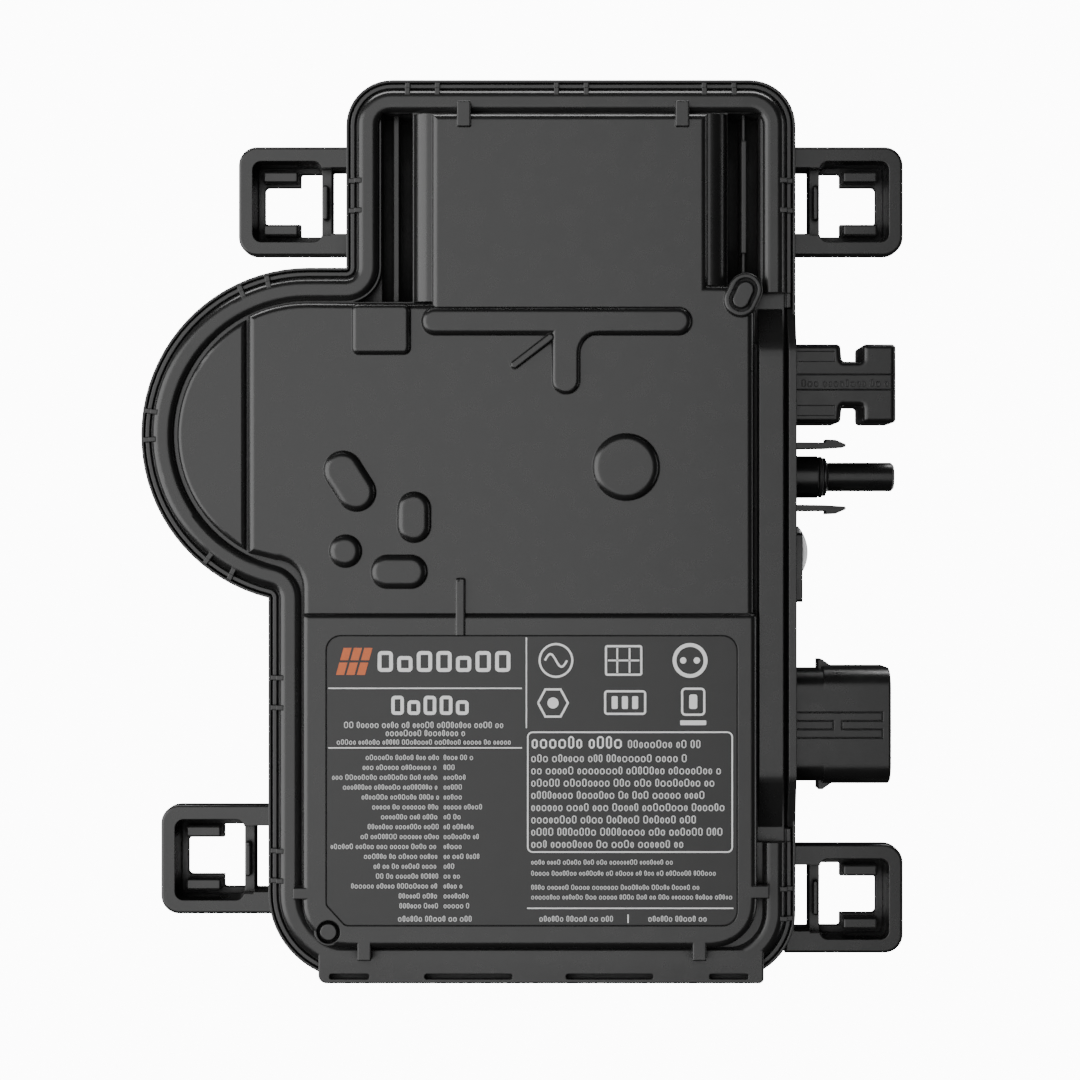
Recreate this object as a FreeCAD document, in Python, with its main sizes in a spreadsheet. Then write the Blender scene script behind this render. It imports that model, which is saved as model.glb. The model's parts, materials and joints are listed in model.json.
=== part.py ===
import FreeCAD
import Part
import math
import os

# Micro inverter. Frame: x to the connector side, y to the rear, z up, millimetres.
# The origin is at the bottom centre of the whole unit. Heights in the sheet that end in
# _level are measured forward from the rear plane, so y = half_depth - level.

doc = FreeCAD.newDocument("micro_inverter")
sheet = doc.addObject("Spreadsheet::Sheet", "Dims")

DIMENSIONS = [
    ("half_depth", 15.1),
    ("top_edge", 212.0),
    ("head_left", -41.2),
    ("body_left", -59.5),
    ("body_right", 64.4),
    ("head_round", 10.8),
    ("lobe_x", -50.0),
    ("lobe_z", 128.5),
    ("lobe_round", 39.4),
    ("heel_round", 20.5),
    ("toe_round", 16.0),
    ("foot_left", -47.6),
    ("foot_right", 56.8),
    # rim, from the outline inwards
    ("lip_width", 0.6),
    ("cover_inset", 1.1),
    ("cover_lip_inset", 2.0),
    ("band_inset", 2.6),
    ("basin_inset", 7.9),
    ("tub_inset", 1.6),
    ("seal_outer_inset", 2.4),
    ("seal_inner_inset", 3.4),
    ("tub_wall_inset", 4.4),
    # levels forward of the rear plane
    ("floor_level", 3.0),
    ("flange_level", 15.5),
    ("seal_level", 18.3),
    ("seam_level", 19.5),
    ("lip_level", 24.0),
    ("cover_lip_level", 24.3),
    ("groove_level", 23.0),
    ("basin_level", 24.9),
    ("band_level", 26.2),
    ("lobe_level", 26.2),
    ("shoulder_level", 27.6),
    ("cheek_level", 27.0),
    ("valley_level", 23.6),
    ("main_level", 28.8),
    ("rib_level", 30.2),
    ("label_level", 29.8),
    ("recess_level", 29.3),
    ("sticker_level", 29.5),
    ("terrace_level", 27.8),
    ("corner_level", 21.0),
    ("ledge_level", 15.0),
    ("pocket_level", 12.0),
    ("cover_cavity_level", 22.8),
    ("panel_cavity_level", 27.0),
    # mounting ears
    ("ear_reach", 26.0),
    ("ear_height", 25.8),
    ("ear_round", 4.4),
    ("ear_back_level", 8.0),
    ("ear_plate_level", 14.5),
    ("ear_front_level", 19.0),
    ("ear_ledge_level", 11.0),
    # connectors, on the level of the circuit board's terminals
    ("port_level", 11.8),
    ("plug_z", 140.95),
    ("plug_height", 18.7),
    ("plug_depth", 16.4),
    ("plug_neck", 10.5),
    ("plug_end", 88.65),
    ("socket_z", 119.0),
    ("socket_end", 89.0),
    ("nose_radius", 3.45),
    ("nose_bore", 2.35),
    ("collar_radius", 5.05),
    ("latch_pivot_x", 66.0),
    ("latch_offset", 7.45),
    ("latch_width", 6.0),
    ("ac_z", 59.95),
    ("ac_height", 27.6),
    ("ac_depth", 21.0),
    ("ac_end", 87.2),
    ("lamp_z", 101.0),
    ("lamp_radius", 6.2),
    ("lamp_crown", 68.5),
    # circuit board
    ("board_back_level", 5.0),
    ("board_level", 6.6),
]

for row, (alias, value) in enumerate(DIMENSIONS, start=1):
    sheet.set("A%d" % row, alias)
    sheet.set("B%d" % row, str(value))
    sheet.setAlias("B%d" % row, alias)
doc.recompute()
dim = dict(DIMENSIONS)
Vector = FreeCAD.Vector
FORWARD = FreeCAD.Rotation(Vector(1, 0, 0), 90)
OUTWARD = FreeCAD.Rotation(Vector(0, 1, 0), Vector(0, 0, 1), Vector(1, 0, 0), "ZXY")


# ---------------------------------------------------------------- outlines

class Outline:
    """A closed run of lines and arcs in a plane, given as pairs of coordinates."""

    def __init__(self, u, v):
        self.start = (u, v)
        self.here = (u, v)
        self.edges = []

    def line(self, u, v):
        if math.dist(self.here, (u, v)) > 1e-6:
            self.edges.append(Part.LineSegment(Vector(*self.here, 0), Vector(u, v, 0)))
            self.here = (u, v)
        return self

    def arc(self, centre, radius, middle, end):
        """An arc about a centre, through one direction to another, in degrees."""
        through = polar(centre, radius, middle)
        last = polar(centre, radius, end)
        self.edges.append(Part.Arc(Vector(*self.here, 0), Vector(*through, 0), Vector(*last, 0)))
        self.here = last
        return self

    def close(self):
        return self.line(*self.start).edges


def polar(centre, radius, degrees):
    angle = math.radians(degrees)
    return (centre[0] + radius * math.cos(angle), centre[1] + radius * math.sin(angle))


def rounded(corners):
    """Edges of a polygon whose corners are (u, v, radius of the round)."""
    pieces = []
    count = len(corners)
    for i in range(count):
        u, v, radius = corners[i]
        here = Vector(u, v, 0)
        before = Vector(*corners[i - 1][:2], 0) - here
        after = Vector(*corners[(i + 1) % count][:2], 0) - here
        before.normalize()
        after.normalize()
        if radius == 0:
            pieces.append((here, None, here))
            continue
        half = before.getAngle(after) / 2
        setback = radius / math.tan(half)
        bisector = before + after
        bisector.normalize()
        centre = here + bisector * (radius / math.sin(half))
        pieces.append((here + before * setback, centre - bisector * radius, here + after * setback))
    edges = []
    for i in range(count):
        enter, middle, leave = pieces[i]
        if middle is not None:
            edges.append(Part.Arc(enter, middle, leave))
        following = pieces[(i + 1) % count][0]
        if leave.distanceToPoint(following) > 1e-6:
            edges.append(Part.LineSegment(leave, following))
    return edges


def box_outline(left, bottom, right, top, radius=0.0):
    return rounded([(left, bottom, radius), (right, bottom, radius),
                    (right, top, radius), (left, top, radius)])


def centred_box(width, tall, radius=0.0):
    return box_outline(-width / 2, -tall / 2, width / 2, tall / 2, radius)


def oval_outline(centre, half_length, radius, degrees=0.0):
    """A straight-sided oval; half_length is from the centre to a tip."""
    reach = half_length - radius
    first = polar(centre, reach, degrees)
    second = polar(centre, reach, degrees + 180)
    start = polar(first, radius, degrees - 90)
    shape = Outline(*start).arc(first, radius, degrees, degrees + 90)
    shape.line(*polar(second, radius, degrees + 90))
    shape.arc(second, radius, degrees + 180, degrees + 270)
    return shape.close()


def circle_outline(centre, radius):
    return [Part.Circle(Vector(*centre, 0), Vector(0, 0, 1), radius)]


# ---------------------------------------------------------------- document objects

def level(alias):
    return "Dims.half_depth - Dims.%s" % alias if isinstance(alias, str) else "Dims.half_depth - %g" % alias


def height(back, front):
    text = ["Dims.%s" % end if isinstance(end, str) else "%g" % end for end in (front, back)]
    return "%s - %s" % tuple(text)


def front_sketch(name, edges, back):
    """A sketch seen from the front, at a level given by a sheet alias or a number."""
    sketch = doc.addObject("Sketcher::SketchObject", name + "_outline")
    sketch.addGeometry(edges, False)
    sketch.Placement = FreeCAD.Placement(Vector(0, 0, 0), FORWARD)
    sketch.setExpression("Placement.Base.y", level(back))
    return sketch


def prism(name, edges, back, front, taper=0.0):
    """A block between two levels, with its walls drawn in by taper degrees."""
    base = front_sketch(name, edges, back)
    return extrusion(name, base, height(back, front), taper)


def extrusion(name, base, length, taper=0.0):
    block = doc.addObject("Part::Extrusion", name)
    block.Base = base
    block.DirMode = "Custom"
    block.Dir = Vector(0, -1, 0)
    block.Solid = True
    block.TaperAngle = -taper
    block.setExpression("LengthFwd", length)
    return block


def inset_prism(name, inset, back, front):
    """A block whose outline is the case outline drawn in by a sheet dimension."""
    ring = doc.addObject("Part::Offset2D", name + "_ring")
    ring.Source = front_sketch(name, case_outline(), back)
    ring.setExpression("Value", "-Dims.%s" % inset)
    return extrusion(name, ring, height(back, front))


def bar(name, edges, start, length):
    """A block that runs along x from start, drawn in the plane of y and z."""
    sketch = doc.addObject("Sketcher::SketchObject", name + "_outline")
    sketch.addGeometry(edges, False)
    sketch.Placement = FreeCAD.Placement(Vector(start, 0, 0), OUTWARD)
    block = doc.addObject("Part::Extrusion", name)
    block.Base = sketch
    block.DirMode = "Custom"
    block.Dir = Vector(1, 0, 0)
    block.Solid = True
    block.LengthFwd = length
    return block


def set_at_port(thing, height_alias, offset=0.0):
    """Places an object on the level of the ports, at a height from the sheet plus an offset."""
    thing.setExpression("Placement.Base.y", "Dims.half_depth - Dims.port_level")
    thing.setExpression("Placement.Base.z", "Dims.%s + %g" % (height_alias, offset))


def port_rod(name, height_alias, radius, start, length, offset=0.0):
    """A cylinder along x from start, on the level of the ports."""
    cylinder = doc.addObject("Part::Cylinder", name)
    cylinder.Radius = radius
    cylinder.Height = length
    turn = FreeCAD.Rotation(Vector(0, 1, 0), 90)
    cylinder.Placement = FreeCAD.Placement(Vector(start, 0, 0), turn)
    set_at_port(cylinder, height_alias, offset)
    return cylinder


def port_bar(name, edges, height_alias, start, length):
    """A block along x from start, drawn about the middle of a port."""
    piece = bar(name, edges, start, length)
    set_at_port(piece.Base, height_alias)
    return piece


def block(name, low, high):
    box = doc.addObject("Part::Box", name)
    box.Length = high[0] - low[0]
    box.Width = high[1] - low[1]
    box.Height = high[2] - low[2]
    box.Placement.Base = Vector(*low)
    return box


def fuse(name, pieces):
    joined = doc.addObject("Part::MultiFuse", name)
    joined.Shapes = pieces
    joined.Refine = True
    return joined


def cut(name, base, tools):
    tool = tools[0] if len(tools) == 1 else fuse(name + "_tools", tools)
    result = doc.addObject("Part::Cut", name)
    result.Base = base
    result.Tool = tool
    result.Refine = True
    return result


def soften(name, base, radius, chosen):
    """Round the edges of an object for which chosen(edge) is true."""
    doc.recompute()
    edges = [(i + 1, radius, radius) for i, edge in enumerate(base.Shape.Edges) if chosen(edge)]
    if not edges:
        raise RuntimeError(name + " has no edge to round")
    result = doc.addObject("Part::Fillet", name)
    result.Base = base
    result.Edges = edges
    return result


def at_level(alias):
    """Chooses the edges that lie whole in one level."""
    y = dim["half_depth"] - (dim[alias] if isinstance(alias, str) else alias)

    def chosen(edge):
        box = edge.BoundBox
        return abs(box.YMin - y) < 1e-4 and abs(box.YMax - y) < 1e-4
    return chosen


def at_x(x):
    def chosen(edge):
        box = edge.BoundBox
        return abs(box.XMin - x) < 1e-4 and abs(box.XMax - x) < 1e-4
    return chosen


def pad(name, edges, back, front, round_radius):
    """A raised block with its front edge rounded."""
    base = prism(name + "_block", edges, back, front)
    return soften(name, base, round_radius, at_level(front))


nodes = []


def keep(node, thing):
    thing.Label = node
    nodes.append(thing)
    return thing


# ---------------------------------------------------------------- case outline

def case_outline():
    """The outer edge of the case: a square-shouldered body with a round lobe on its left."""
    heel = (dim["body_left"] + dim["heel_round"], 0.5 + dim["heel_round"])
    toe = (dim["body_right"] - dim["toe_round"], 0.5 + dim["toe_round"])
    shoulder_z = dim["top_edge"] - dim["head_round"]
    right = (dim["body_right"] - dim["head_round"], shoulder_z)
    left = (dim["head_left"] + dim["head_round"], shoulder_z)
    lobe = (dim["lobe_x"], dim["lobe_z"])
    lobe_top = dim["lobe_z"] + dim["lobe_round"]
    lobe_end = 360 - math.degrees(math.acos((dim["body_left"] - dim["lobe_x"]) / dim["lobe_round"]))
    shape = Outline(dim["body_left"], heel[1])
    shape.arc(heel, dim["heel_round"], 225, 270)
    shape.line(toe[0], 0.5).arc(toe, dim["toe_round"], 315, 0)
    shape.line(dim["body_right"], shoulder_z).arc(right, dim["head_round"], 45, 90)
    shape.line(left[0], dim["top_edge"]).arc(left, dim["head_round"], 135, 180)
    shape.line(dim["head_left"], lobe_top)
    shape.line(dim["lobe_x"], lobe_top)
    shape.arc(lobe, dim["lobe_round"], 170, lobe_end)
    return shape.close()


def foot_outline():
    return rounded([(dim["foot_left"], 0, 2.0), (dim["foot_right"], 0, 1.2),
                    (dim["foot_right"], 8, 0), (dim["foot_left"], 8, 0)])


# ---------------------------------------------------------------- front cover

def main_panel_outline():
    lobe = (dim["lobe_x"], dim["lobe_z"])
    reach = dim["lobe_round"] - dim["basin_inset"] - 0.6
    chord = -63.8
    upper = 180 - math.degrees(math.acos((dim["lobe_x"] - chord) / reach))
    corner = polar(lobe, reach, upper)
    shape = Outline(-51.1, 60)
    shape.line(54.4, 60).line(54.4, 163.4).line(43.6, 163.4).line(43.6, 203.5)
    shape.line(-21.0, 203.5).line(-21.0, 159.2).line(dim["lobe_x"], dim["lobe_z"] + reach)
    shape.arc(lobe, reach, (90 + upper) / 2, upper)
    shape.line(corner[0], 2 * dim["lobe_z"] - corner[1])
    shape.line(-57.5, 99.3)
    shape.arc((-57.6, 92.8), 6.5, 45, 0)
    return shape.close()


def lobe_panel_outline():
    lobe = (dim["lobe_x"], dim["lobe_z"])
    reach = dim["lobe_round"] - dim["basin_inset"] - 0.8
    chord = -64.6
    upper = 180 - math.degrees(math.acos((dim["lobe_x"] - chord) / reach))
    return Outline(*polar(lobe, reach, upper)).arc(lobe, reach, 180, 360 - upper).close()


RIM_LUG_PAIRS = [
    # middle of the pair on the outline, and the direction out of the case in degrees
    ((-23.2, 212.0), 90),
    ((11.7, 212.0), 90),
    ((46.4, 212.0), 90),
    ((-41.2, 184.7), 180),
    ((64.4, 184.7), 0),
    ((-59.5, 68.1), 180),
    ((-59.5, 27.5), 180),
    ((64.4, 18.6), 0),
]
LOBE_LUG_PAIRS = [109.8, 176.5, 236.0]


def rim_lugs():
    """Short bridges across the rim groove, in pairs seven millimetres apart."""
    lugs = []
    places = []
    for middle, outward in RIM_LUG_PAIRS:
        for side in (-3.5, 3.5):
            places.append((polar(middle, side, outward + 90), outward))
    for degrees in LOBE_LUG_PAIRS:
        for side in (-1, 1):
            outward = degrees + side * math.degrees(3.5 / dim["lobe_round"])
            places.append((polar((dim["lobe_x"], dim["lobe_z"]), dim["lobe_round"], outward), outward))
    back = dim["half_depth"] - 24.1
    for place, outward in places:
        turn = FreeCAD.Rotation(Vector(0, 1, 0), -outward)
        # a low step over the groove and a tall one against the band's round
        for length, rise in ((3.0, 0.8), (1.6, 2.05)):
            lug = doc.addObject("Part::Box", "rim_lug")
            lug.Length = length
            lug.Width = rise
            lug.Height = 1.1
            corner = turn.multVec(Vector(-3.7, 0, -0.55))
            lug.Placement = FreeCAD.Placement(Vector(place[0], back - rise, place[1]) + corner, turn)
            lugs.append(lug)
    return lugs


def raised_features():
    """Ribs and bosses moulded on the main panel."""
    back = 28.0
    front = "rib_level"
    ribs = [
        pad("crossbar", oval_outline((8.25, 154.9), 31.6, 3.3), back, front, 1.5),
        pad("stem", rounded([(7.1, 137.9, 3.2), (13.7, 137.9, 3.2), (13.7, 151.9, 4.5),
                             (22, 151.9, 0), (22, 154, 0), (7.1, 154, 0)]), back, front, 1.0),
        pad("strut", oval_outline((2.6, 147.9), 6.2, 0.95, 37.5), back, front, 0.5),
        pad("square_boss", box_outline(-39.5, 147.1, -25.8, 158.9, 1.6), back, front, 1.2),
        pad("round_boss", circle_outline((24.4, 120.9), 7.9), back, front, 1.8),
        pad("slanted_boss", oval_outline((-40.0, 117.6), 7.6, 4.6, -57.6), back, front, 1.8),
        pad("upright_boss", oval_outline((-25.0, 109.2), 6.0, 4.0, 90), back, front, 1.8),
        pad("small_boss", circle_outline((-41.0, 101.3), 3.9), back, front, 1.8),
        pad("level_boss", oval_outline((-28.5, 96.5), 6.7, 4.0), back, front, 1.8),
        pad("short_rib", box_outline(-15.3, 80, -13.1, 95.0, 0.5), back, front, 0.4),
    ]
    for x in (-13.4, 37.5):
        ribs.append(pad("top_bridge", box_outline(x - 1.6, 200.2, x + 1.6, 206.2, 0.3),
                        24.0, 29.8, 0.3))
    for x in (-36.6, 41.5):
        ribs.append(pad("foot_bridge", box_outline(x - 1.6, 5.9, x + 1.6, 12, 0.2),
                        24.0, "label_level", 0.3))
    ribs.append(pad("left_bridge", box_outline(-53.2, 20.2, -48, 22.9, 0.2), 24.0, "label_level", 0.3))
    ribs.append(pad("right_bridge", box_outline(52, 20.4, 57.8, 23.4, 0.2), 24.0, "label_level", 0.3))
    return ribs


def left_corner_outline(radius, bottom):
    """The floor between the inner corner of the border band and the left well."""
    corner = (dim["head_left"], dim["lobe_z"] + dim["lobe_round"])
    last = -math.degrees(math.asin(min((corner[1] - bottom) / radius, 1.0)))
    first = polar(corner, radius, 0)
    shape = Outline(*first).arc(corner, radius, last / 2, last)
    shape.line(shape.here[0], bottom)
    return shape.line(first[0], bottom).close()


def build_cover():
    plate = cut("cover_plate", inset_prism("cover_edge", "cover_inset", "seam_level", "cover_lip_level"),
                [inset_prism("rim_groove", "cover_lip_inset", "groove_level", 26)])
    band_ring = cut("band_ring", inset_prism("band_block", "band_inset", 22, "band_level"),
                    [inset_prism("basin", "basin_inset", 21, 27)])
    band = soften("band", band_ring, 1.8, at_level("band_level"))
    floor = inset_prism("basin_floor", "band_inset", 22, "basin_level")
    lobe_panel = pad("lobe_panel", lobe_panel_outline(), 23, "lobe_level", 1.2)
    foot = pad("foot_front", foot_outline(), "seam_level", "band_level", 0.4)
    main_panel = pad("main_panel", main_panel_outline(), 23, "main_level", 1.7)
    label_panel = pad("label_panel", rounded([
        (-51.1, 8.8, 10.5), (55.0, 8.8, 10.5), (55.0, 86.9, 1.2), (-51.1, 86.9, 1.2)]),
        23, "label_level", 1.6)
    terraces = []
    for name, wall, inside in (("left_terrace", -25.5, -19.5), ("right_terrace", 48.4, 42.6)):
        low, high = sorted((wall, inside))
        bottom = 159.6 if wall < 0 else 163.4
        raised = prism(name + "_block", box_outline(low, bottom, high, 203.6), 11, "terrace_level")
        terraces.append(soften(name, raised, 4.3, lambda edge, wall=wall: at_level("terrace_level")(edge)
                               and at_x(wall)(edge)))
    left_shell = prism("left_well_wall", box_outline(-34.6, 158.0, -19, 205.6), 10.4, 23.5)
    right_shell = prism("right_well_wall", box_outline(42.0, 162.0, 57.9, 205.6), 10.4, 23.5)
    left_corner_shell = prism("left_corner_wall", left_corner_outline(6.6, 158.2), "seam_level", 23.5)
    shoulder = shoulder_bar("cover_shoulder", 55.6, 5.6, "shoulder_level", 20.0)

    cavity = [
        inset_prism("cover_hollow", "tub_wall_inset", 19, "cover_cavity_level"),
        prism("panel_hollow", rounded([
            (-49, 14, 6), (52, 14, 6), (52, 160, 0), (41.5, 160, 0), (41.5, 201.5, 0), (-18, 201.5, 0),
            (-18, 157, 0), (-61.5, 154, 0), (-61.5, 103, 0), (-49, 98, 0)]), 22, "panel_cavity_level"),
    ]
    shell = cut("cover_shell", fuse("cover_mass", [
        plate, floor, foot, main_panel, label_panel]), cavity)

    wells = [
        prism("left_well", box_outline(-29.0, 159.8, -25.5, 204.0), "pocket_level", 31),
        prism("left_ledge", box_outline(-32.9, 159.8, -25.5, 204.0), "ledge_level", 31),
        prism("left_corner", left_corner_outline(8.3, 159.8), "corner_level", 31),
        prism("right_well", box_outline(48.4, 163.9, 51.8, 204.0), "pocket_level", 31),
        prism("right_ledge", box_outline(48.4, 163.9, 56.1, 204.0), "ledge_level", 31),
    ]
    valley = [
        prism("upper_valley", box_outline(54.9, 150.0, 66, 161.9, 0), "valley_level", 31),
        prism("lower_valley", box_outline(55.4, 33.0, 66, 48.0, 0), "valley_level", 31),
        prism("shoulder_seat", box_outline(55.4, 47.0, 66, 151.0, 0), "valley_level", 31),
        prism("cheek_clearance", box_outline(61.9, 36.0, 66, 158.6, 0), 19, 31),
    ]
    body = cut("cover_body", fuse("cover_stack", [
        shell, band, lobe_panel, left_shell, left_corner_shell, right_shell] + terraces
                                         + raised_features()), wells + valley)

    well_ribs = [
        prism("left_well_rib", box_outline(-30.2, 159.0, -29.0, 204.5), "pocket_level", 20.5),
        prism("right_well_rib", box_outline(51.8, 171.5, 52.9, 197.8), "pocket_level", 23),
        prism("right_well_rib_thin", box_outline(52.05, 163.0, 52.65, 204.5), "pocket_level", 22),
    ]
    ring_boss = cut("ring_boss", pad("ring_boss_rim", oval_outline((51.7, 161.0), 5.3, 4.0, 65),
                                     16, "rib_level", 0.6),
                    [prism("ring_boss_moat", oval_outline((51.7, 161.0), 4.1, 2.8, 65), 28.6, 31)])
    ring_pip = pad("ring_boss_pip", oval_outline((51.7, 161.0), 3.3, 2.0, 65), 28, 29.9, 0.4)
    slots = []
    for x0, x1 in ((-45, -35.6), (-22.7, -2.1), (10.4, 30.9), (44, 53.2)):
        slots.append(prism("foot_slot", box_outline(x0, 1.0, x1, 2.3, 0.55), 24.2, 31))
    pin_place = (-44.9, 12.6)
    pin_collar = pad("pin_collar", circle_outline(pin_place, 3.4), 23, 29.5, 0.3)
    pin_well = prism("pin_well", circle_outline(pin_place, 2.75), 27.2, 31)
    recess = prism("label_recess", sticker_outline(0.0), "recess_level", 31)
    pin = pad("pin", circle_outline(pin_place, 2.0), 26.5, 29.7, 0.3)
    carved = cut("cover_carved", fuse("cover_full", [
        body, shoulder, ring_boss, ring_pip, pin_collar] + well_ribs), slots + [pin_well, recess])
    return keep("front_cover", fuse("front_cover_solid", [carved, pin] + rim_lugs()))


def sticker_outline(gap):
    left, bottom, right, top = -45.5 + gap, 14.0 + gap, 50.4 - gap, 81.7 - gap
    return rounded([(left, 18.9, 1.5), (-41.0, bottom, 1.5), (right, bottom, 3.5),
                    (right, top, 3.5), (left, top, 3.5)])


def shoulder_bar(name, start, width, front, back):
    """A run of the connector side that stands proud, with a curved ramp at each end."""
    base = dim["half_depth"] - dim["valley_level"]
    crest = dim["half_depth"] - dim[front]
    inner = dim["half_depth"] - back
    profile = rounded([(inner, 36.4, 0), (inner, 158.2, 0), (base, 158.2, 0),
                       (crest, 148.5, 9), (crest, 48.5, 9), (base, 36.4, 0)])
    return bar(name, profile, start, width)


# ---------------------------------------------------------------- rear housing

def ear(name, wall_x, side, bottom):
    """A mounting ear that reaches out from the side wall; side is 1 to the right."""
    def across(start, low, end, high, radius=0.0):
        u = sorted((wall_x + side * start, wall_x + side * end))
        return box_outline(u[0], bottom + low, u[1], bottom + high, radius)

    reach = dim["ear_reach"]
    tall = dim["ear_height"]
    edge = dim["ear_round"]
    inner = wall_x - side * 2.0
    outer = wall_x + side * reach
    corners = [(inner, bottom, 0), (outer, bottom, edge),
               (outer, bottom + tall, edge), (inner, bottom + tall, 0)]
    if side < 0:
        corners.reverse()
    plate = soften(name + "_edge", prism(name + "_plate", rounded(corners), "ear_plate_level",
                                         "ear_front_level"), 0.7, at_level("ear_front_level"))
    collar = prism(name + "_collar", across(-2.0, 1.8, reach - 1.8, tall - 1.8, 2.4),
                   "ear_back_level", 15)
    ledge = "ear_ledge_level"
    front = 20
    openings = [
        prism(name + "_recess", across(6.9, 3.9, 22.0, 21.7, 1.4), ledge, front, -5),
        prism(name + "_window", across(6.5, 5.3, 12.0, 20.5, 0.6), 7, 12),
        prism(name + "_throat", across(11.0, 8.3, 20.6, 17.3, 1.0), 7, 12),
        prism(name + "_slot", across(0.15, 5.2, 4.2, 20.9, 0.3), 7, front),
        prism(name + "_bar_front", across(4.0, 4.8, 7.1, 20.8), 15, front),
    ]
    opened = cut(name + "_frame", fuse(name + "_mass", [plate, collar]), openings)
    lugs = [
        pad(name + "_lug_low", across(12.2, 5.2, 20.4, 7.8, 0.5), 9, 15.5, 0.5),
        pad(name + "_lug_high", across(12.2, 17.8, 20.4, 20.4, 0.5), 9, 15.5, 0.5),
        pad(name + "_bar_rib", across(4.9, 8.7, 6.2, 16.9, 0.5), 14, 17.4, 0.4),
    ]
    return fuse(name, [opened] + lugs)


def build_housing():
    flange = prism("flange", case_outline(), "flange_level", "lip_level")
    tub = soften("tub", inset_prism("tub_block", "tub_inset", 0, 16), 2.5, at_level(0))
    foot = prism("foot_rear", foot_outline(), "flange_level", "seam_level")
    ears = [
        ear("ear_upper_left", dim["head_left"] + 0.1, -1, 171.3),
        ear("ear_upper_right", dim["body_right"], 1, 171.3),
        ear("ear_lower_left", dim["body_left"], -1, 15.3),
        ear("ear_lower_right", dim["body_right"], 1, 6.0),
    ]
    cheek = shoulder_bar("connector_cheek", 62.6, 1.8, "cheek_level", 19.0)
    port_wall = bar("port_wall", rounded([
        (dim["half_depth"] - 3.0, 42.0, 1.5), (dim["half_depth"] - 21.0, 42.0, 0),
        (dim["half_depth"] - 21.0, 152.5, 0), (dim["half_depth"] - 3.0, 152.5, 1.5)]), 60.5, 3.9)
    mass = fuse("housing_mass", [flange, tub, foot, port_wall] + ears)
    hollows = [
        inset_prism("cover_seat", "lip_width", "seam_level", 31),
        prism("foot_seat", box_outline(dim["foot_left"], -1, dim["foot_right"], 8), "seam_level", 31),
        inset_prism("tub_hollow", "tub_wall_inset", "floor_level", 31),
        cut("seal_groove", inset_prism("seal_groove_outer", "seal_outer_inset", "seal_level", 21),
            [inset_prism("seal_groove_inner", "seal_inner_inset", "floor_level", 22)]),
    ]
    shell = cut("housing_shell", mass, hollows + port_cutters() + rear_recesses())
    return keep("rear_housing", fuse("rear_housing_solid", [shell, cheek] + board_posts()))


def rear_recesses():
    """Shallow cells in the rear face, with ribs left standing between them."""
    cells = []
    columns = [(-47, -22), (-20, 5), (7, 32), (34, 55)]
    rows = [(14, 46), (48, 80), (82, 114), (116, 148), (150, 176), (178, 202)]
    for x0, x1 in columns:
        for z0, z1 in rows:
            if x0 < -30 and z0 > 60:
                continue
            cells.append(prism("rear_cell", box_outline(x0, z0, x1, z1, 2.5), 0, 0.9))
    lobe = (dim["lobe_x"], dim["lobe_z"])
    ring = cut("rear_ring", prism("rear_ring_outer", circle_outline(lobe, 27), 0, 0.9),
               [prism("rear_ring_inner", circle_outline(lobe, 25), -1, 2)])
    return cells + [ring]


BOARD_POSTS = [(-42, 30), (48, 22), (-28, 196), (50, 196), (-70, 108), (-70, 149), (48, 100)]


def board_posts():
    return [prism("board_post", circle_outline(place, 3.2), 2.5, "board_back_level")
            for place in BOARD_POSTS]


STUB_RADIUS = 6.3
LAMP_STUB_RADIUS = 3.2


def port_cutters():
    """Openings in the connector wall."""
    start = 58
    length = 10
    return [
        port_rod("plug_port", "plug_z", STUB_RADIUS, start, length),
        port_rod("socket_port", "socket_z", 4.6, start, length),
        port_rod("lamp_port", "lamp_z", LAMP_STUB_RADIUS, start, length),
        port_bar("ac_port", centred_box(12.6, 21, 3), "ac_z", start, length),
    ]


# ---------------------------------------------------------------- design bodies

def plane_of(body, role):
    return next(item for item in body.Origin.OriginFeatures if item.Role == role)


def body_sketch(body, role, edges, name):
    sketch = body.newObject("Sketcher::SketchObject", name)
    sketch.AttachmentSupport = [(plane_of(body, role), "")]
    sketch.MapMode = "FlatFace"
    sketch.addGeometry(edges, False)
    return sketch


def turned(name, profile, height_alias):
    """A body turned about x on the level of the ports, from edges or points of (x, radius)."""
    edges = profile
    if isinstance(profile[0], tuple):
        edges = rounded([(x, radius, 0) for x, radius in profile])
    body = turned_body(name, edges, "XZ_Plane", "H_Axis")
    set_at_port(body, height_alias)
    return body


def turned_forward(name, profile, place):
    """A body turned about y from points of (y, radius), set down at a place."""
    edges = rounded([(radius, y, 0) for y, radius in profile])
    body = turned_body(name, edges, "XY_Plane", "V_Axis")
    body.Placement.Base = Vector(*place)
    return body


def turned_body(name, edges, role, axis):
    body = doc.addObject("PartDesign::Body", name)
    sketch = body_sketch(body, role, edges, name + "_profile")
    turn = body.newObject("PartDesign::Revolution", name + "_turn")
    turn.Profile = sketch
    turn.ReferenceAxis = (sketch, [axis])
    turn.Angle = 360
    return body


def padded(name, edges, width_alias, height_alias):
    """A body drawn in x and z about the middle of a port, and padded both ways along y."""
    body = doc.addObject("PartDesign::Body", name)
    feature = body.newObject("PartDesign::Pad", name + "_pad")
    feature.Profile = body_sketch(body, "XZ_Plane", edges, name + "_profile")
    feature.Midplane = True
    feature.setExpression("Length", "Dims." + width_alias)
    set_at_port(body, height_alias)
    return body


# ---------------------------------------------------------------- connectors

def port_y():
    return dim["half_depth"] - dim["port_level"]


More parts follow.
